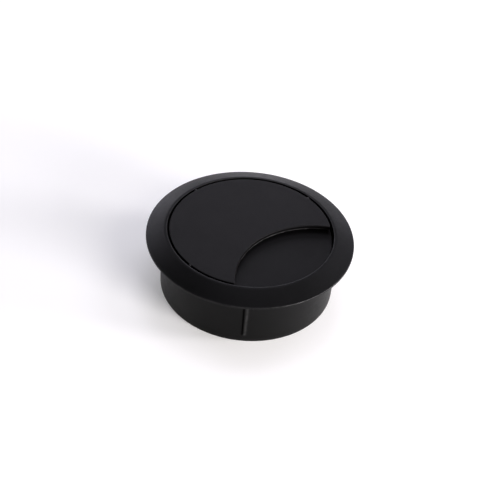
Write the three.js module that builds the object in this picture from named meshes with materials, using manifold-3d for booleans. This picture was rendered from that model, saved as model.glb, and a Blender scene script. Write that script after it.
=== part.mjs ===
// Round cable grommet for a desk top: a flanged liner for a 60 mm hole, a fixed plate that
// presses into it, and a cover that turns on the plate about the vertical axis. The cover's
// split pin snaps through the plate's hub, so the two lift out of the liner together.
// Both discs have the same lens-shaped cut-out, so turning the cover opens or closes the cable way.
// Millimetres, +Z up. Origin: centre of the liner's lower edge, on the axis.
// The cover's cut-out faces -Y at rest (closed), the plate's cut-out faces +Y.
import * as THREE from "three";
import { mergeVertices } from "three/addons/utils/BufferGeometryUtils.js";
import Module from "manifold-3d";

const wasm = await Module();
wasm.setup();

// ---- driving dimensions -------------------------------------------------
const FLANGE_R = 35.0; // outside radius of the flange
const SEAT_Z = 19.64; // underside of the flange, which rests on the desk
const RIM_Z = 23.05; // crest of the flange, beside the cover
const CREST_R = 28.44;
const EDGE_R = 34.72; // where the flange's top meets its rounded outer edge
const SLEEVE_R_LOW = 29.5; // outside of the sleeve at its lower end
const SLEEVE_R_HIGH = 30.0; // outside of the sleeve under the flange
const SLEEVE_IN_R = 27.9; // inside of the sleeve
const RECESS_R = 27.95; // recess that takes the plate and the cover
const LEDGE_R = 25.9; // bore of the ledge that carries the plate
const LEDGE_Z = 16.64; // top of the ledge
const LEDGE_T = 1.4;
const RIB_COUNT = 4; // crush ribs on the sleeve
const RIB_ANGLE = -135.7; // degrees, first rib
const RIB_HEIGHT = 0.4;
const RIB_HALF = 0.95;
const RIB_LOW_Z = 2.9;

const PLATE_R = 27.6;
const PLATE_TOP = 20.62;
const PLATE_T = 1.6;
const SKIRT_R = 27.45;
const SKIRT_T = 1.2;
const SKIRT_LOW = 16.94;
const HUB_R = 4.8;
const HUB_BORE_R = 3.0;
const HUB_LOW = 16.2;

const COVER_R = 27.22;
const COVER_TOP = 23.05;
const COVER_T = 1.4;
const GLIDE_LOW = 20.93; // lower face of the glide rim and of the hub collar
const PIN_R = 2.85;
const PIN_BORE_R = 1.5;
const PIN_LOW = 14.4;
const BARB_R = 3.5;
const BARB_TOP = 15.9;
const PIN_SLOT = 1.0;
const NUB_R = 27.7; // centring nubs on the cover's edge, opposite the cut-out and at either side
const NUB_HALF = 0.35;
const NUB_ANGLES = [0, 90, 180];

const CUT_R = 28.39; // radius of the arc of both cut-outs
const CUT_DIST = 33.49; // its centre, measured from the axis

const N = 96; // segments round the axis
const rad = THREE.MathUtils.degToRad;

// ---- small kit ----------------------------------------------------------
// A closed BufferGeometry as a manifold solid.
function solid(geometry) {
  const g = geometry.index ? geometry.toNonIndexed() : geometry.clone();
  for (const k of Object.keys(g.attributes)) if (k !== "position") g.deleteAttribute(k);
  const m = mergeVertices(g, 1e-4);
  const s = new wasm.Manifold(
    new wasm.Mesh({
      numProp: 3,
      vertProperties: new Float32Array(m.attributes.position.array),
      triVerts: new Uint32Array(m.index.array),
    }),
  );
  return s;
}

// A manifold solid as a BufferGeometry.
function geometryOf(s) {
  const m = s.getMesh();
  const p = new Float32Array(m.numVert * 3);
  for (let i = 0; i < m.numVert; i++)
    p.set(m.vertProperties.subarray(i * m.numProp, i * m.numProp + 3), i * 3);
  const g = new THREE.BufferGeometry();
  g.setAttribute("position", new THREE.BufferAttribute(p, 3));
  g.setIndex(new THREE.BufferAttribute(new Uint32Array(m.triVerts), 1));
  g.computeVertexNormals();
  return g;
}

// A ring or a disc turned about +Z from its closed [r, z] outline, anticlockwise.
function turned(outline, segments = N) {
  const pts = outline.map(([r, z]) => new THREE.Vector2(r, z));
  const onAxis = outline[0][0] === 0 && outline[outline.length - 1][0] === 0;
  if (!onAxis) pts.push(pts[0].clone());
  const g = new THREE.LatheGeometry(pts, segments);
  g.rotateX(Math.PI / 2);
  return solid(g);
}

function box(x0, y0, z0, x1, y1, z1) {
  const g = new THREE.BoxGeometry(x1 - x0, y1 - y0, z1 - z0);
  g.translate((x0 + x1) / 2, (y0 + y1) / 2, (z0 + z1) / 2);
  return solid(g);
}

function spin(s, degrees) {
  return s.rotate([0, 0, degrees]);
}

// A round bar about +Z, between two heights.
function bar(r, z0, z1, segments = N) {
  const g = new THREE.CylinderGeometry(r, r, z1 - z0, segments);
  g.rotateX(Math.PI / 2);
  g.translate(0, 0, (z0 + z1) / 2);
  return solid(g);
}

// The cylinder that makes a cut-out, on the side of the axis given by sign.
function cutter(sign, r, z0, z1) {
  const g = new THREE.CylinderGeometry(r, r, z1 - z0, 180);
  g.rotateX(Math.PI / 2);
  g.translate(0, sign * CUT_DIST, (z0 + z1) / 2);
  return solid(g);
}

// ---- liner --------------------------------------------------------------
// The flange's top surface falls away from its crest in a gently convex curve to its outer edge.
function flangeTop() {
  const p = [];
  const steps = 9;
  for (let i = 0; i <= steps; i++) {
    const t = (i / steps) ** 1.35; // closer together at the crest, where the slope changes
    const r = CREST_R + (EDGE_R - CREST_R) * t;
    p.push([r, flangeZ(r)]);
  }
  return p.reverse(); // from the outer edge to the crest
}
function flangeZ(r) {
  // slope angle grows from 0 at the crest to 22 degrees within 0.9 mm, then slowly to 26 degrees
  let z = RIM_Z;
  const n = 200;
  for (let i = 0; i < n; i++) {
    const q = ((r - CREST_R) * (i + 0.5)) / n;
    const u = Math.min(1, q / 0.9);
    const a = 22 * (u * (2 - u)) + 4 * Math.max(0, (q - 0.9) / 5.4);
    z -= (Math.tan(rad(a)) * (r - CREST_R)) / n;
  }
  return z;
}

function liner() {
  const outline = [
    [SLEEVE_IN_R + 0.25, 0],
    [SLEEVE_R_LOW - 0.2, 0],
    [SLEEVE_R_LOW - 0.04, 0.07],
    [SLEEVE_R_LOW, 0.25],
    [SLEEVE_R_HIGH, 21.0],
    [30.7, 21.05],
    [32.6, 20.1],
    [33.2, SEAT_Z],
    [34.78, SEAT_Z],
    [34.94, SEAT_Z + 0.06],
    [FLANGE_R, SEAT_Z + 0.22],
    [FLANGE_R, SEAT_Z + 0.5],
    [34.9, SEAT_Z + 0.69],
    ...flangeTop(),
    [28.2, RIM_Z - 0.03],
    [28.03, RIM_Z - 0.12],
    [RECESS_R, RIM_Z - 0.32],
    [RECESS_R - 0.03, LEDGE_Z],
    [LEDGE_R, LEDGE_Z],
    [LEDGE_R, LEDGE_Z - LEDGE_T],
    [SLEEVE_IN_R - 0.1, 13.6],
    [SLEEVE_IN_R, 0.4],
  ];
  let s = turned(outline);
  for (let k = 0; k < RIB_COUNT; k++) s = s.add(spin(crushRib(), RIB_ANGLE + (360 / RIB_COUNT) * k));
  return s;
}

// A triangular rib on the sleeve, along +X, that fades out at its lower end.
function crushRib() {
  const r = SLEEVE_R_LOW - 0.55;
  const section = (z, h) => [
    [r, -RIB_HALF, z],
    [r, RIB_HALF, z],
    [SLEEVE_R_HIGH + h, 0.18, z],
    [SLEEVE_R_HIGH + h, -0.18, z],
  ];
  const rows = [section(RIB_LOW_Z, -0.45), section(RIB_LOW_Z + 1.6, RIB_HEIGHT - 0.12), section(21.2, RIB_HEIGHT)];
  const v = rows.flat();
  const f = [];
  const quad = (a, b, c, d) => f.push(a, b, c, a, c, d);
  for (let i = 0; i < rows.length - 1; i++)
    for (let j = 0; j < 4; j++) {
      const a = i * 4 + j,
        b = i * 4 + ((j + 1) % 4);
      quad(b, a, a + 4, b + 4);
    }
  quad(0, 1, 2, 3);
  const t = (rows.length - 1) * 4;
  quad(t + 3, t + 2, t + 1, t);
  const g = new THREE.BufferGeometry();
  g.setAttribute("position", new THREE.BufferAttribute(new Float32Array(v.flat()), 3));
  g.setIndex(f);
  let s = solid(g);
  if (s.volume() < 0) {
    const flipped = [];
    for (let i = 0; i < f.length; i += 3) flipped.push(f[i], f[i + 2], f[i + 1]);
    g.setIndex(flipped);
    s = solid(g);
  }
  return s;
}

// ---- fixed plate --------------------------------------------------------
function fixedPlate() {
  const low = PLATE_TOP - PLATE_T;
  let s = turned([
    [0, low],
    [PLATE_R - 0.1, low],
    [PLATE_R, low + 0.1],
    [PLATE_R, PLATE_TOP - 0.25],
    [PLATE_R - 0.25, PLATE_TOP],
    [0, PLATE_TOP],
  ]);
  // skirt that stands on the ledge
  s = s.add(
    turned([
      [SKIRT_R - SKIRT_T, SKIRT_LOW],
      [SKIRT_R - 0.2, SKIRT_LOW],
      [SKIRT_R, SKIRT_LOW + 0.4],
      [SKIRT_R, low + 0.3],
      [SKIRT_R - SKIRT_T, low + 0.3],
    ]),
  );
  // stiffening ribs between the hub and the skirt
  for (const a of [0, -45, -90, -135, 180])
    s = s.add(spin(box(HUB_R - 0.6, -0.5, 17.5, SKIRT_R - 0.5, 0.5, low + 0.3), a));
  // the cut-out, and a lip under its edge
  const lipT = 1.1;
  const lip = cutter(1, CUT_R + lipT, 17.7, low + 0.3).intersect(bar(SKIRT_R - 0.3, 17.7, low + 0.3));
  s = s.add(lip);
  s = s.subtract(cutter(1, CUT_R, HUB_LOW - 1, PLATE_TOP + 1));
  // hub with its bore
  s = s.add(bar(HUB_R, HUB_LOW, low + 0.3, 48));
  s = s.subtract(bar(HUB_BORE_R, HUB_LOW - 1, PLATE_TOP + 1, 48));
  return s;
}

// ---- turning cover ------------------------------------------------------
function turningCover() {
  const low = COVER_TOP - COVER_T;
  let s = turned([
    [0, low],
    [COVER_R - 0.12, low],
    [COVER_R, low + 0.12],
    [COVER_R, COVER_TOP - 0.3],
    [COVER_R - 0.09, COVER_TOP - 0.09],
    [COVER_R - 0.3, COVER_TOP],
    [0, COVER_TOP],
  ]);
  // glide rim near the edge, which rides on the plate if the cover is pressed
  s = s.add(
    turned([
      [24.5, GLIDE_LOW],
      [25.6, GLIDE_LOW],
      [25.6, low + 0.3],
      [24.5, low + 0.3],
    ]),
  );
  s = s.subtract(cutter(-1, CUT_R, GLIDE_LOW - 1, COVER_TOP + 1));
  for (const a of NUB_ANGLES)
    s = s.add(spin(box(COVER_R - 0.6, -NUB_HALF, COVER_TOP - 1.1, NUB_R, NUB_HALF, COVER_TOP - 0.2), a));
  // collar round the pin
  s = s.add(bar(4.6, GLIDE_LOW, low + 0.3, 48));
  // split snap pin
  let pin = turned(
    [
      [PIN_BORE_R, PIN_LOW],
      [PIN_R - 0.35, PIN_LOW],
      [BARB_R, BARB_TOP - 0.45],
      [BARB_R, BARB_TOP],
      [PIN_R, BARB_TOP],
      [PIN_R, low + 0.3],
      [PIN_BORE_R, low + 0.3],
    ],
    48,
  );
  const h = PIN_SLOT / 2;
  pin = pin.subtract(box(-5, -h, PIN_LOW - 1, 5, h, 18.6));
  pin = pin.subtract(box(-h, -5, PIN_LOW - 1, h, 5, 18.6));
  s = s.add(pin);
  return s;
}

// ---- scene --------------------------------------------------------------
const liner_material = new THREE.MeshStandardMaterial({ color: 0x17171a, roughness: 0.5, metalness: 0 });
const plate_material = new THREE.MeshStandardMaterial({ color: 0x19181b, roughness: 0.55, metalness: 0 });
const cover_material = new THREE.MeshStandardMaterial({ color: 0x1a191c, roughness: 0.55, metalness: 0 });

function mesh(name, s, material) {
  const m = new THREE.Mesh(geometryOf(s), material);
  m.name = name;
  return m;
}

const grommet = new THREE.Group();
grommet.name = "desk_grommet";
grommet.add(mesh("liner", liner(), liner_material));
const cap = new THREE.Group(); // lifts out of the liner
cap.add(mesh("fixed_plate", fixedPlate(), plate_material));
cap.add(mesh("turning_cover", turningCover(), cover_material));
grommet.add(cap);

export default grommet;
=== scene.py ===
import bpy, bmesh, math
from mathutils import Matrix, Vector


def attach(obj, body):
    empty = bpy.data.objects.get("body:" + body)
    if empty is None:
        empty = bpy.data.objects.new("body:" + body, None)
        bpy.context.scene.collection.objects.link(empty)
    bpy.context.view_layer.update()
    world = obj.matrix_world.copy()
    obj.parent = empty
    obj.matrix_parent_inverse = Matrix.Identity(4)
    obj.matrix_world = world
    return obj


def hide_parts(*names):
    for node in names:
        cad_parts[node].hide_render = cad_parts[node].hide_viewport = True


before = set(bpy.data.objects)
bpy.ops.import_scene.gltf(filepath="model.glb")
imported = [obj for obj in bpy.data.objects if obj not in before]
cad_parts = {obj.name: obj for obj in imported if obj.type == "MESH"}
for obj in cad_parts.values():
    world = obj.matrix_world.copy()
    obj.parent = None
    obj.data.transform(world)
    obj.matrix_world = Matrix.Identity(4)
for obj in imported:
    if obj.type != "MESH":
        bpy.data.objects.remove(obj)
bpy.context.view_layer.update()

# Lengths below are millimetres in the row's frame, and MM turns them into metres.
MM = 0.001
TAU = math.tau


# =====================================================================
# Camera
# =====================================================================
def make_camera():
    """42.3 degrees up and 47.45 degrees round, rolled and aimed a little off the axis."""
    elev, roll = math.radians(42.329), math.radians(5.587)
    aim_x, aim_y = math.radians(0.0409), math.radians(1.2703)
    dist = 483.23
    forward = Vector((0, math.cos(elev), -math.sin(elev)))
    right = Vector((1, 0, 0))
    up = right.cross(forward)
    where = -forward * dist
    look = (forward + math.tan(aim_x) * right + math.tan(aim_y) * up).normalized()
    r2 = look.cross(Vector((0, 0, 1))).normalized()
    u2 = r2.cross(look)
    rr = math.cos(roll) * r2 + math.sin(roll) * u2
    ur = -math.sin(roll) * r2 + math.cos(roll) * u2
    turn = Matrix.Rotation(math.radians(-47.45), 3, "Z")
    rr, ur, look, where = turn @ rr, turn @ ur, turn @ look, turn @ where
    cam = bpy.data.objects.new("camera", bpy.data.cameras.new("camera"))
    cam.data.sensor_width = 36.0
    cam.data.lens = 100.8
    cam.data.clip_start, cam.data.clip_end = 0.01, 50.0
    m = Matrix((rr, ur, -look)).transposed().to_4x4()
    m.translation = where * MM
    cam.matrix_world = m
    bpy.context.scene.collection.objects.link(cam)
    bpy.context.scene.camera = cam
    return cam


# =====================================================================
# Mesh kit
# =====================================================================
def new_object(name, bm):
    """A mesh object from a bmesh in millimetres, with its faces turned outwards."""
    bmesh.ops.recalc_face_normals(bm, faces=bm.faces[:])
    for v in bm.verts:
        v.co *= MM
    me = bpy.data.meshes.new(name)
    bm.to_mesh(me)
    bm.free()
    o = bpy.data.objects.new(name, me)
    bpy.context.scene.collection.objects.link(o)
    return o


def fillet(corners, step=12.0):
    """A closed outline of (a, b, radius) corners as points, with each corner rounded."""
    out = []
    n = len(corners)
    for i, (x, y, r) in enumerate(corners):
        p = Vector((x, y))
        a = Vector(corners[i - 1][:2]) - p
        b = Vector(corners[(i + 1) % n][:2]) - p
        if r <= 0 or a.length < 1e-9 or b.length < 1e-9:
            out.append((x, y))
            continue
        ua, ub = a.normalized(), b.normalized()
        inner = ua.angle(ub)
        turn = math.pi - inner
        if turn < math.radians(2):
            out.append((x, y))
            continue
        t = min(r / math.tan(inner / 2), 0.49 * a.length, 0.49 * b.length)
        r = t * math.tan(inner / 2)
        c = p + (ua + ub).normalized() * (r / math.sin(inner / 2))
        s = p + ua * t - c
        e = p + ub * t - c
        k = max(2, math.ceil(math.degrees(turn) / step))
        a0, a1 = math.atan2(s.y, s.x), math.atan2(e.y, e.x)
        d = (a1 - a0 + math.pi) % TAU - math.pi
        out += [(c.x + r * math.cos(a0 + d * j / k), c.y + r * math.sin(a0 + d * j / k)) for j in range(k + 1)]
    return out


def bridge(bm, one, two, closed=True):
    n = len(one)
    for i in range(n if closed else n - 1):
        j = (i + 1) % n
        bm.faces.new((one[i], one[j], two[j], two[i]))


def lathe(name, outline, angles=None, shape=None):
    """A closed [r, z] outline turned about Z. shape(r, z, angle) may move a point, and returns its radius."""
    if angles is None:
        angles = [TAU * i / 128 for i in range(128)]
    bm = bmesh.new()
    cols = []
    for a in angles:
        col = []
        for r, z in outline:
            q = shape(r, z, a) if shape else r
            col.append(bm.verts.new((q * math.cos(a), q * math.sin(a), z)))
        cols.append(col)
    for i in range(len(cols)):
        bridge(bm, cols[i], cols[(i + 1) % len(cols)])
    return new_object(name, bm)


def sweep_arc(name, section, a0, a1, steps):
    """A closed [r, z] section carried round Z from a0 to a1 degrees, with flat ends."""
    bm = bmesh.new()
    cols = []
    for i in range(steps + 1):
        a = math.radians(a0 + (a1 - a0) * i / steps)
        cols.append([bm.verts.new((r * math.cos(a), r * math.sin(a), z)) for r, z in section])
    for one, two in zip(cols, cols[1:]):
        bridge(bm, one, two)
    bm.faces.new(cols[0])
    bm.faces.new(cols[-1])
    return new_object(name, bm)


def block(name, lo, hi, radius, turn=0.0, segments=3):
    """A box with rounded edges, turned about Z by some degrees."""
    bm = bmesh.new()
    bmesh.ops.create_cube(bm, size=1.0)
    for v in bm.verts:
        v.co = Vector([lo[k] + (v.co[k] + 0.5) * (hi[k] - lo[k]) for k in range(3)])
    if radius > 0:
        bmesh.ops.bevel(bm, geom=bm.edges[:], offset=radius, segments=segments, profile=0.5, affect="EDGES")
    bmesh.ops.rotate(bm, verts=bm.verts, cent=(0, 0, 0), matrix=Matrix.Rotation(math.radians(turn), 3, "Z"))
    return new_object(name, bm)


def joined(target, others, operation="UNION"):
    """target with each of the others added or cut away, as one closed mesh. The others are used up."""
    for other in others:
        mod = target.modifiers.new("join", "BOOLEAN")
        mod.operation = operation
        mod.solver = "MANIFOLD"
        mod.object = other
        dg = bpy.context.evaluated_depsgraph_get()
        made = bpy.data.meshes.new_from_object(target.evaluated_get(dg))
        target.modifiers.clear()
        old = target.data
        target.data = made
        bpy.data.meshes.remove(old)
        gone = other.data
        bpy.data.objects.remove(other)
        bpy.data.meshes.remove(gone)
    return target


def mark_attribute(o, name, marks):
    """A point attribute that is 1 on the places given and fades off them. Each mark is (kind, a, b, width):
    'ring' is a circle at radius a and height b, 'cut' an arc of the cut-out on side a at height b,
    'wall' the cut-out's wall on side a below height b, 'bore' a round wall at radius a just below height b, 'at' a spot at radius a and angle b,
    'flank' the sleeve's wall a mm round from each crush rib, above height b."""
    att = o.data.attributes.new(name, "FLOAT", "POINT")
    vals = []
    for v in o.data.vertices:
        x, y, z = v.co / MM
        r = math.hypot(x, y)
        w = 0.0
        for kind, a, b, width in marks:
            if kind == "ring":
                d = math.hypot(r - a, z - b) / width
            elif kind == "at":
                t = math.radians(b)
                d = math.hypot(x - a * math.cos(t), y - a * math.sin(t)) / width
            elif kind == "cut":
                d = math.hypot(math.hypot(x, y - a * CUT_DIST) - CUT_R, z - b) / width
            elif kind == "wall":
                off = abs(math.hypot(x, y - a * CUT_DIST) - CUT_R)
                d = math.hypot(off, max(0.0, z - b)) / width
            elif kind == "bore":
                d = math.hypot(r - a, max(0.0, z - b), max(0.0, b - 1.6 - z)) / width
            else:
                t = min(((math.atan2(y, x) - q + math.pi) % TAU - math.pi for q in RIB_ANGLES), key=abs)
                low = max(0.0, b - z)
                d = math.hypot(t * 29.8 - a * (0.72 + 0.28 * min(max((z - 2.8) / 17.5, 0), 1)), low) / width if 29.0 < r < 30.7 and z < 21.2 else 9.0
            w = max(w, math.exp(-(d**2)))
        vals.append(w)
    att.data.foreach_set("value", vals)


def finish_shading(o, angle=32.0):
    """Smooth shading that breaks at real corners, with flats kept flat."""
    me = o.data
    for p in me.polygons:
        p.use_smooth = True
    me.set_sharp_from_angle(angle=math.radians(angle))
    mod = o.modifiers.new("normals", "WEIGHTED_NORMAL")
    mod.mode = "FACE_AREA"
    mod.weight = 60
    mod.keep_sharp = True


# =====================================================================
# Outline of a disc with a lens cut out of one side
# =====================================================================
CUT_R, CUT_DIST = 28.39, 33.49


def lens_disc(radius, cut_radius, tip, side, n_out=150, n_tip=8, n_cut=84):
    """Points round a disc less a circle on the side given (-1 is -Y, 1 is +Y), with round tips.
    Each point is (x, y, kind), with kind 0 on the disc's own arc, 1 on the cut, and between them on a tip."""
    a, b, d = radius - tip, cut_radius + tip, CUT_DIST
    # centre of the tip's arc, for a cut on +Y, at positive x
    y = (a * a - b * b + d * d) / (2 * d)
    x = math.sqrt(max(a * a - y * y, 0))
    tip_out = math.atan2(y, x)  # where the disc's arc meets the tip's arc
    tip_cut = math.atan2(d - y, -x)  # direction from the tip's centre to the cut's centre
    pts = []
    # the disc's own arc, from the tip at +x clockwise under the axis to the tip at -x
    start, end = tip_out, -math.pi - tip_out
    for i in range(n_out + 1):
        t = start + (end - start) * i / n_out
        pts.append((radius * math.cos(t), radius * math.sin(t), 0.0))
    # tip at -x: from the disc's direction to the cut's
    s, e = math.pi - tip_out, math.pi - tip_cut
    for i in range(1, n_tip):
        t = s + (e - s) * i / n_tip
        pts.append((-x + tip * math.cos(t), y + tip * math.sin(t), i / n_tip))
    # the cut, from -x to +x
    c0 = math.atan2(y - d, -x)
    c1 = math.atan2(y - d, x)
    for i in range(n_cut + 1):
        t = c0 + ((c1 - c0) % TAU) * i / n_cut
        pts.append((cut_radius * math.cos(t), d + cut_radius * math.sin(t), 1.0))
    s, e = tip_cut, tip_out
    for i in range(1, n_tip):
        t = s + (e - s) * i / n_tip
        pts.append((x + tip * math.cos(t), y + tip * math.sin(t), 1 - i / n_tip))
    if side < 0:  # half a turn round Z
        pts = [(-px, -py, k) for px, py, k in pts]
    return pts


def stacked(name, rings):
    """A closed body from rings of (x, y, z) points of equal count: the first and last are filled."""
    bm = bmesh.new()
    rows = [[bm.verts.new(p) for p in ring] for ring in rings]
    for one, two in zip(rows, rows[1:]):
        bridge(bm, one, two)
    bm.faces.new(rows[0])
    bm.faces.new(rows[-1])
    return new_object(name, bm)


def arc(d0, z0, d1, z1, kind, n=6):
    """Quarter ellipse of (inset, z) points. kind 'top' leaves along the flat and arrives along the wall, 'low' the other way."""
    out = []
    for i in range(n + 1):
        t = i / n * math.pi / 2
        if kind == "top":
            out.append((d0 + (d1 - d0) * math.sin(t), z0 + (z1 - z0) * (1 - math.cos(t))))
        else:
            out.append((d0 + (d1 - d0) * (1 - math.cos(t)), z0 + (z1 - z0) * math.sin(t)))
    return out


# =====================================================================
# Liner
# =====================================================================
RIM_Z, SEAT_Z = 23.05, 19.64
CREST_R, EDGE_R = 28.44, 34.72
SLEEVE_LOW, SLEEVE_HIGH = 29.5, 30.0
RIB_ANGLES = [math.radians(-135.7 + 90 * k) for k in range(4)]


def flange_z(r, n=160):
    z = RIM_Z
    for i in range(n):
        q = (r - CREST_R) * (i + 0.5) / n
        u = min(1.0, q / 0.9)
        a = 22 * (u * (2 - u)) + 4 * max(0.0, (q - 0.9) / 5.4)
        z -= math.tan(math.radians(a)) * (r - CREST_R) / n
    return z


def sleeve_r(z):
    return SLEEVE_LOW + (SLEEVE_HIGH - SLEEVE_LOW) * min(max(z / 21.0, 0), 1)


def rib_height(z, angle):
    best = 0.0
    for a in RIB_ANGLES:
        d = (angle - a + math.pi) % TAU - math.pi
        t = abs(d) * 29.8
        if t > 2.0:
            continue
        up = min(max((z - 2.8) / 17.5, 0), 1)
        half = 0.62 + 0.28 * up
        lead = min(max((z - 2.8) / 1.5, 0), 1)
        lead = math.sin(lead * math.pi / 2) ** 0.8 if lead > 0 else 0
        height = (0.34 + 0.08 * up) * lead
        u = t / half
        v = 1.05 - math.sqrt(u * u + 0.05 * 0.05 * 4)
        k = 0.07
        h = height * 0.5 * (v + math.sqrt(v * v + k * k))  # a soft corner where the rib meets the wall
        if t > half * 1.35:
            h *= max(0.0, 1 - (t - half * 1.35) / 0.5)
        best = max(best, h)
    return best


def make_liner():
    corners = [
        (28.15, 0.0, 0.2),
        (29.5, 0.0, 0.22),
    ]
    zs = [1.1, 1.9, 2.4, 2.7, 2.9, 3.1, 3.3, 3.6, 3.9, 4.3, 5.0, 6.0, 7.5, 9.5, 12.0, 14.5, 17.0, 18.8, 20.0]
    corners += [(sleeve_r(z), z, 0) for z in zs]
    corners += [
        (29.99, 21.0, 0.35),
        (30.7, 21.05, 0.6),
        (32.6, 20.1, 0.5),
        (33.2, 19.64, 0.25),
        (35.0, 19.64, 0.18),
        (35.0, 20.33, 0.30),
    ]
    n = 44
    corners += [(r, flange_z(r), 0) for r in [CREST_R + (EDGE_R - CREST_R) * (1 - i / n) ** 1.25 for i in range(n + 1)]]
    corners += [
        (27.95, RIM_Z, 0.28),
        (27.94, 21.4, 0),
        (27.92, 16.64, 0.25),
        (25.9, 16.64, 0.22),
        (25.9, 15.24, 0.25),
        (27.8, 13.6, 0.6),
        (27.88, 7.0, 0),
    ]
    outline = fillet(corners, 10.0)
    base = [TAU * i / 288 for i in range(288)]
    near = [k * s for k in (0.05, 0.1, 0.17, 0.26, 0.36, 0.46, 0.56, 0.66, 0.76, 0.86, 0.96, 1.06, 1.2, 1.4, 1.7) for s in (-1, 1)] + [0.0]
    angles = [a for a in base if all(abs((a - b + math.pi) % TAU - math.pi) * 29.8 > 1.95 for b in RIB_ANGLES)]
    for b in RIB_ANGLES:
        angles += [(b + t / 29.8) % TAU for t in near]
    angles = sorted(angles)

    def shape(r, z, a):
        if 28.9 < r < 30.2 and 0.3 < z < 21.0:
            return max(r, sleeve_r(z) + rib_height(z, a)) if r >= sleeve_r(z) - 1e-6 else r
        return r

    return lathe("liner_shell", outline, angles, shape)


# =====================================================================
# Turning cover
# =====================================================================
COVER_R, COVER_TOP, COVER_LOW = 27.22, 23.05, 21.65


def burr(i, n):
    """How far the ragged lower edge of the cover's cut stands out, along the cut."""
    t = i / n
    w = (
        0.5
        + 0.26 * math.sin(37.0 * t + 0.6)
        + 0.2 * math.sin(71.0 * t + 2.1)
        + 0.16 * math.sin(133.0 * t + 4.0)
        + 0.1 * math.sin(229.0 * t + 1.0)
    )
    return min(max(w, 0.0), 1.1)


def cover_ring(d, z, d_cut=None, z_cut=None, ragged=0.0):
    d_cut = d if d_cut is None else d_cut
    z_cut = z if z_cut is None else z_cut
    tip = max(0.42 - max(d, d_cut), 0.05)
    pts = lens_disc(COVER_R - d, CUT_R + d_cut, tip, -1)
    out = []
    first = next(i for i, p in enumerate(pts) if p[2] == 1.0)
    count = sum(1 for p in pts if p[2] == 1.0) - 1
    for i, (x, y, kind) in enumerate(pts):
        zz = z + (z_cut - z) * kind
        if ragged and kind == 1.0:
            j = i - first
            ends = min(1.0, min(j, count - j) / 6)
            k = ragged * burr(j, count) * ends
            cx, cy = 0.0, -CUT_DIST
            ux, uy = x - cx, y - cy
            ln = math.hypot(ux, uy)
            x -= ux / ln * k
            y -= uy / ln * k
        out.append((x, y, zz))
    return out


def make_cover():
    top_edge = arc(0.15, COVER_TOP, 0.0, COVER_TOP - 0.15, "top", 6)
    rings = [cover_ring(1.0, COVER_TOP), cover_ring(0.5, COVER_TOP)]
    rings += [cover_ring(d, z) for d, z in top_edge]
    rings += [cover_ring(0.0, 22.38)]
    rings += [cover_ring(0.0, 21.95, 0.0, 21.92)]
    # the lower edge of the wall: plain on the disc's arc, with a thin moulding burr along the cut
    rings += [cover_ring(0.0, 21.82, 0.0, 21.83, 0.05)]
    rings += [cover_ring(0.0, 21.77, 0.0, 21.76, 0.17)]
    rings += [cover_ring(0.03, 21.70, 0.0, 21.70, 0.17)]
    rings += [cover_ring(0.10, COVER_LOW, 0.07, COVER_LOW, 0.03)]
    rings += [cover_ring(0.5, COVER_LOW), cover_ring(1.0, COVER_LOW)]
    body = stacked("cover_shell", rings)

    parts = []
    # glide rim under the edge, ending just short of the cut
    rim = fillet([(24.5, 20.93, 0.25), (25.6, 20.93, 0.25), (25.6, 21.85, 0), (24.5, 21.85, 0)], 18)
    parts.append(sweep_arc("glide", rim, -23.5, 203.5, 150))
    # collar and split pin
    collar = fillet([(2.0, 20.93, 0.1), (4.6, 20.93, 0.25), (4.6, 21.85, 0), (2.0, 21.85, 0)], 18)
    parts.append(lathe("collar", collar, [TAU * i / 96 for i in range(96)]))
    pin = fillet(
        [
            (1.5, 14.4, 0.15),
            (2.5, 14.4, 0.2),
            (3.5, 15.45, 0.15),
            (3.5, 15.9, 0.12),
            (2.85, 15.9, 0.1),
            (2.85, 21.3, 0),
            (1.5, 21.3, 0),
        ],
        15,
    )
    pin = lathe("pin", pin, [TAU * i / 96 for i in range(96)])
    slots = [
        block("slot_a", (-5, -0.5, 12.0), (5, 0.5, 18.6), 0.0),
        block("slot_b", (-0.5, -5, 12.0), (0.5, 5, 18.6), 0.0),
    ]
    joined(pin, slots, "DIFFERENCE")
    parts.append(pin)
    for a in (0, 90, 180):
        parts.append(block(f"nub_{a}", (26.7, -0.35, 21.95), (27.7, 0.35, 23.03), 0.10, a))
    return joined(body, parts)


# =====================================================================
# Fixed plate
# =====================================================================
PLATE_R, PLATE_TOP, PLATE_UNDER = 27.6, 20.62, 19.02


def plate_ring(d, z, d_cut=None, z_cut=None):
    d_cut = d if d_cut is None else d_cut
    z_cut = z if z_cut is None else z_cut
    tip = max(0.5 - max(min(d, 3), min(d_cut, 3)), 0.08)
    pts = lens_disc(PLATE_R - d, CUT_R + d_cut, tip, 1)
    return [(x, y, z + (z_cut - z) * kind) for x, y, kind in pts]


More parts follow.
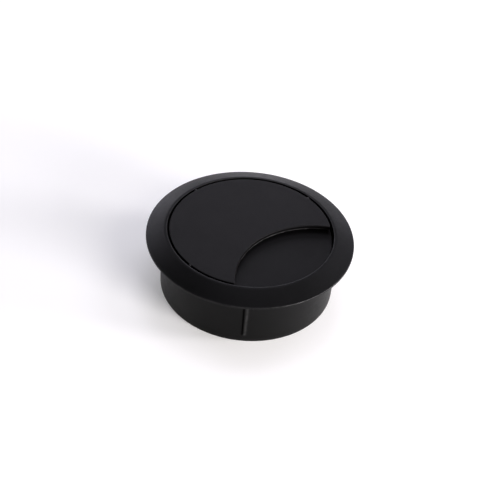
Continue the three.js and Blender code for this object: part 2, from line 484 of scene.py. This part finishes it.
def make_plate():
    rings = [plate_ring(1.2, PLATE_TOP), plate_ring(0.55, PLATE_TOP)]
    rings += [plate_ring(d, z) for d, z in arc(0.26, PLATE_TOP, 0.0, PLATE_TOP - 0.26, "top", 6)]
    rings += [plate_ring(0.0, 19.17)]
    rings += [plate_ring(0.02, 19.02), plate_ring(0.15, 18.92, 0.02, 18.92)]
    rings += [plate_ring(0.17, 17.4, 0.04, 17.95)]
    rings += [plate_ring(d, z, d2, z2) for (d, z), (d2, z2) in zip(
        arc(0.19, 17.29, 0.5, 16.94, "low", 5), arc(0.05, 17.95, 0.3, 17.7, "low", 5))]
    rings += [plate_ring(d, z, d2, z2) for (d, z), (d2, z2) in zip(
        arc(1.15, 16.94, 1.35, 17.14, "top", 4), arc(0.9, 17.7, 1.1, 17.9, "top", 4))]
    rings += [plate_ring(1.38, 18.72, 1.12, 18.72)]
    rings += [plate_ring(d, z, d2, z2) for (d, z), (d2, z2) in zip(
        arc(1.38, 18.77, 1.63, PLATE_UNDER, "low", 4), arc(1.12, 18.77, 1.37, PLATE_UNDER, "low", 4))]
    rings += [plate_ring(2.2, PLATE_UNDER)]
    body = stacked("plate_shell", rings)

    parts = []
    for a in (0, -45, -90, -135, 180):
        parts.append(block(f"rib{a}", (4.2, -0.5, 17.5), (26.95, 0.5, 19.5), 0.16, a))
    hub = fillet([(2.0, 16.2, 0.0), (4.8, 16.2, 0.3), (4.8, 19.5, 0), (2.0, 19.5, 0)], 15)
    parts.append(lathe("hub", hub, [TAU * i / 96 for i in range(96)]))
    joined(body, parts)
    # the bore, with a chamfered mouth at both ends
    bore = bmesh.new()
    prof = [(3.35, 15.0), (3.35, 16.15), (3.0, 16.5), (3.0, 20.37), (3.3, 20.67), (3.3, 21.5)]
    rows = [[bore.verts.new((r * math.cos(TAU * i / 96), r * math.sin(TAU * i / 96), z)) for i in range(96)] for r, z in prof]
    for one, two in zip(rows, rows[1:]):
        bridge(bore, one, two)
    bore.faces.new(rows[0])
    bore.faces.new(rows[-1])
    return joined(body, [new_object("bore", bore)], "DIFFERENCE")


# =====================================================================
# Materials
# =====================================================================
def plastic(name, colour, rough, grain=0.017, grain_scale=2600.0, mottle=0.12, edge=0.5, spec=0.5, dust=0.2):
    """Black moulded plastic: spark-eroded grain, faint mottling, pale dust specks, painted highlights on marked edges
    (paler and glossier, partly wear) and painted shade on marked walls (darker and duller).
    """
    m = bpy.data.materials.new(name)
    m.use_nodes = True
    nt = m.node_tree
    N, L = nt.nodes, nt.links
    N.clear()
    out = N.new("ShaderNodeOutputMaterial")
    sh = N.new("ShaderNodeBsdfPrincipled")
    L.new(sh.outputs["BSDF"], out.inputs["Surface"])
    sh.inputs["IOR"].default_value = 1.5
    co = N.new("ShaderNodeTexCoord")

    def noise(scale, detail, rough_, dist=0.0):
        n = N.new("ShaderNodeTexNoise")
        n.inputs["Scale"].default_value = scale
        n.inputs["Detail"].default_value = detail
        n.inputs["Roughness"].default_value = rough_
        n.inputs["Distortion"].default_value = dist
        L.new(co.outputs["Object"], n.inputs["Vector"])
        return n

    def remap(src, lo, hi, a=0.0, b=1.0):
        r = N.new("ShaderNodeMapRange")
        r.inputs["From Min"].default_value = lo
        r.inputs["From Max"].default_value = hi
        r.inputs["To Min"].default_value = a
        r.inputs["To Max"].default_value = b
        L.new(src, r.inputs["Value"])
        return r.outputs["Result"]

    def math_(op, a, b):
        r = N.new("ShaderNodeMath")
        r.operation = op
        for k, v in enumerate((a, b)):
            if isinstance(v, float):
                r.inputs[k].default_value = v
            else:
                L.new(v, r.inputs[k])
        return r.outputs[0]

    big = noise(95.0, 3.0, 0.55)
    mid = noise(620.0, 4.0, 0.6)
    fine = noise(grain_scale, 2.0, 0.5)
    finer = noise(grain_scale * 2.3, 2.0, 0.55)

    # painted highlights, partly wear: the marked edges and bumps are painted paler and glossier; the painted-shade
    # marks make walls darker and duller
    att = N.new("ShaderNodeAttribute")
    att.attribute_name = "wear_and_highlight"
    wear_and_highlight_fac = att.outputs["Fac"]
    wear_and_highlight_fac = math_("MULTIPLY", wear_and_highlight_fac, remap(mid.outputs["Fac"], 0.35, 0.68, 0.25, 1.0))
    painted_shade_fac = N.new("ShaderNodeAttribute")
    painted_shade_fac.attribute_name = "painted_shade"
    painted_shade_fac = math_("MULTIPLY", painted_shade_fac.outputs["Fac"], math_("SUBTRACT", 1.0, att.outputs["Fac"]))

    mix = N.new("ShaderNodeMix")
    mix.data_type = "RGBA"
    mix.inputs[6].default_value = (*[c * (1 - mottle) for c in colour], 1)
    mix.inputs[7].default_value = (*[c * (1 + mottle) for c in colour], 1)
    L.new(remap(big.outputs["Fac"], 0.36, 0.64), mix.inputs[0])
    # painted highlight: the marked places blend towards a paler colour, twice the colour plus a little grey
    mix2 = N.new("ShaderNodeMix")
    mix2.data_type = "RGBA"
    L.new(mix.outputs[2], mix2.inputs[6])
    mix2.inputs[7].default_value = (*[c * 2.0 + 0.006 for c in colour], 1)
    L.new(math_("MULTIPLY", wear_and_highlight_fac, edge), mix2.inputs[0])
    # a few pale dust specks, each a fraction of a millimetre across
    cell = N.new("ShaderNodeTexVoronoi")
    cell.inputs["Scale"].default_value = 210.0
    L.new(co.outputs["Object"], cell.inputs["Vector"])
    pick = N.new("ShaderNodeSeparateColor")
    L.new(cell.outputs["Color"], pick.inputs["Color"])
    speck = math_("MULTIPLY", math_("LESS_THAN", cell.outputs["Distance"], 0.030), math_("GREATER_THAN", pick.outputs["Red"], 1.0 - dust))
    # painted shade: the marked walls blend towards a quarter of the colour
    mix4 = N.new("ShaderNodeMix")
    mix4.data_type = "RGBA"
    L.new(painted_shade_fac, mix4.inputs[0])
    L.new(mix2.outputs[2], mix4.inputs[6])
    mix4.inputs[7].default_value = (*[c * 0.25 for c in colour], 1)
    mix3 = N.new("ShaderNodeMix")
    mix3.data_type = "RGBA"
    L.new(speck, mix3.inputs[0])
    L.new(mix4.outputs[2], mix3.inputs[6])
    mix3.inputs[7].default_value = (0.10, 0.10, 0.10, 1)
    L.new(mix3.outputs[2], sh.inputs["Base Color"])

    r1 = remap(mid.outputs["Fac"], 0.3, 0.7, rough - 0.035, rough + 0.035)
    r2 = math_("SUBTRACT", r1, math_("MULTIPLY", wear_and_highlight_fac, 0.16))
    L.new(math_("ADD", r2, math_("MULTIPLY", painted_shade_fac, 0.35)), sh.inputs["Roughness"])
    # painted highlight and shade in the gloss: the specular level rises up to 3.5 times on highlight marks and drops to
    # a tenth on shade marks
    painted_gloss = math_("SUBTRACT", math_("ADD", 1.0, math_("MULTIPLY", wear_and_highlight_fac, 2.5)), math_("MULTIPLY", painted_shade_fac, 0.9))
    L.new(math_("MULTIPLY", spec, painted_gloss), sh.inputs["Specular IOR Level"])

    grainy = math_("ADD", fine.outputs["Fac"], math_("MULTIPLY", finer.outputs["Fac"], 0.6))
    bump = N.new("ShaderNodeBump")
    bump.inputs["Strength"].default_value = 1.0
    bump.inputs["Distance"].default_value = grain * MM
    L.new(grainy, bump.inputs["Height"])
    bump2 = N.new("ShaderNodeBump")
    bump2.inputs["Strength"].default_value = 1.0
    bump2.inputs["Distance"].default_value = 0.004 * MM
    L.new(mid.outputs["Fac"], bump2.inputs["Height"])
    L.new(bump.outputs["Normal"], bump2.inputs["Normal"])
    L.new(bump2.outputs["Normal"], sh.inputs["Normal"])
    return m


def paper_floor():
    m = bpy.data.materials.new("pale_floor")
    m.use_nodes = True
    sh = m.node_tree.nodes["Principled BSDF"]
    sh.inputs["Base Color"].default_value = (0.86, 0.86, 0.86, 1)
    sh.inputs["Roughness"].default_value = 0.9
    sh.inputs["Specular IOR Level"].default_value = 0.1
    sh.inputs["Emission Color"].default_value = (1, 1, 1, 1)
    sh.inputs["Emission Strength"].default_value = FLOOR_GLOW
    return m


# =====================================================================
# Stage and light
# =====================================================================
# name, azimuth round Z in the camera's frame (0 right, 90 behind, 180 left, -90 camera side),
# elevation, distance and size in metres, colour, watts
COOL, WARM, ROSE = (0.90, 0.88, 1.0), (1.0, 0.96, 0.87), (1.0, 0.955, 0.97)
LIGHTS = [
    ("top", 90, 86, 1.4, 0.9, COOL, 2.1),
    ("back65", 90, 64, 1.4, 0.7, COOL, 3.05),
    ("back25", 90, 25, 1.4, 0.6, COOL, 2.1),
    ("back8", 90, 9, 1.4, 0.4, COOL, 1.35),
    ("b8_65", 65, 8, 1.4, 0.4, COOL, 1.0),
    ("b8_115", 115, 8, 1.4, 0.4, COOL, 1.88),
    ("b8_140", 140, 8, 1.4, 0.4, COOL, 0.6),
    ("bl20", 135, 20, 1.4, 0.6, COOL, 3.55),
    ("bl45", 135, 45, 1.4, 0.6, COOL, 0.86),
    ("br20", 45, 20, 1.4, 0.6, COOL, 1.1),
    ("br45", 45, 45, 1.4, 0.6, COOL, 2.5),
    ("f30", -90, 30, 1.4, 0.6, WARM, 1.5),
    ("fr15", -45, 15, 1.4, 0.5, ROSE, 10.5),
    ("fr40", -45, 40, 1.4, 0.6, WARM, 3.4),
    ("fr8", -30, 7, 1.4, 0.4, ROSE, 23.0),
    ("r45", 0, 45, 1.4, 0.6, ROSE, 1.4),
    ("r8", 0, 8, 1.4, 0.4, ROSE, 22.3),
]
WORLD, FLOOR_GLOW = 0.04, 0.21


def area_light(name, az, el, dist, size, colour, watts):
    data = bpy.data.lights.new(name, "AREA")
    data.shape = "DISK"
    data.size = size
    data.energy = watts
    data.color = colour
    o = bpy.data.objects.new(name, data)
    a, e = math.radians(az - 47.45), math.radians(el)
    d = Vector((math.cos(a) * math.cos(e), math.sin(a) * math.cos(e), math.sin(e)))
    o.location = Vector((0, 0, 0.012)) + d * dist
    o.rotation_mode = "QUATERNION"
    o.rotation_quaternion = d.to_track_quat("Z", "Y")
    bpy.context.scene.collection.objects.link(o)
    return o


def make_stage():
    bm = bmesh.new()
    bmesh.ops.create_grid(bm, x_segments=8, y_segments=8, size=3.0)
    me = bpy.data.meshes.new("floor")
    bm.to_mesh(me)
    bm.free()
    floor = bpy.data.objects.new("floor", me)
    bpy.context.scene.collection.objects.link(floor)
    me.materials.append(paper_floor())
    world = bpy.data.worlds.new("studio")
    bpy.context.scene.world = world
    world.use_nodes = True
    bg = world.node_tree.nodes["Background"]
    bg.inputs["Color"].default_value = (1, 1, 1, 1)
    bg.inputs["Strength"].default_value = WORLD
    for spec in LIGHTS:
        area_light(*spec)
    bpy.context.scene.view_settings.view_transform = "Standard"
    bpy.context.scene.view_settings.look = "None"


# =====================================================================
# Build
# =====================================================================
make_camera()

pieces = {
    "liner": (make_liner(), "liner", "liner_plastic", plastic("moulded_liner", (0.0015, 0.0015, 0.0016), 0.42, spec=0.10)),
    "fixed_plate": (make_plate(), "cap", "plate_plastic", plastic("moulded_plate", (0.0036, 0.0035, 0.0038), 0.42, spec=0.10)),
    "turning_cover": (make_cover(), "cover", "cover_plastic", plastic("moulded_cover", (0.0039, 0.0037, 0.0041), 0.42, spec=0.10)),
}
# painted highlights, partly wear: rubbed edges (the rim's inner edge, the flange's outer corner, the sleeve's foot, the
# plate's edges), the lit side of each crush rib, the nubs and the moulding burr are painted paler and glossier
WEAR_AND_HIGHLIGHT = {
    "liner": [
        ("ring", 28.1, RIM_Z + 0.02, 0.10),
        ("ring", 34.93, 20.28, 0.17),
        ("ring", 29.45, 0.08, 0.2),
        ("flank", 0.62, 3.2, 0.45),
    ],
    "fixed_plate": [("ring", PLATE_R - 0.08, PLATE_TOP - 0.08, 0.15), ("cut", 1, PLATE_TOP - 0.08, 0.15)],
    "turning_cover": [("cut", -1, 21.75, 0.15)]
    + [("at", 27.55, a, 0.5) for a in (0, 90, 180)],
}
# painted shade: the cover's cut wall, the shaded side of each crush rib and the walls of the gaps round the cover are
# painted darker and duller
PAINTED_SHADE_MARKS = {
    "liner": [("flank", -0.72, 3.2, 0.36), ("bore", 27.95, 22.82, 0.1)],
    "fixed_plate": [],
    "turning_cover": [("wall", -1, 22.78, 0.13), ("bore", COVER_R, 22.85, 0.1)],
}
for node, (obj, body, slot_name, material) in pieces.items():
    obj.data.materials.clear()
    obj.data.materials.append(material)
    mark_attribute(obj, "wear_and_highlight", WEAR_AND_HIGHLIGHT[node])
    mark_attribute(obj, "painted_shade", PAINTED_SHADE_MARKS[node])
    finish_shading(obj)
    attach(obj, body)
    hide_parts(node)

make_stage()
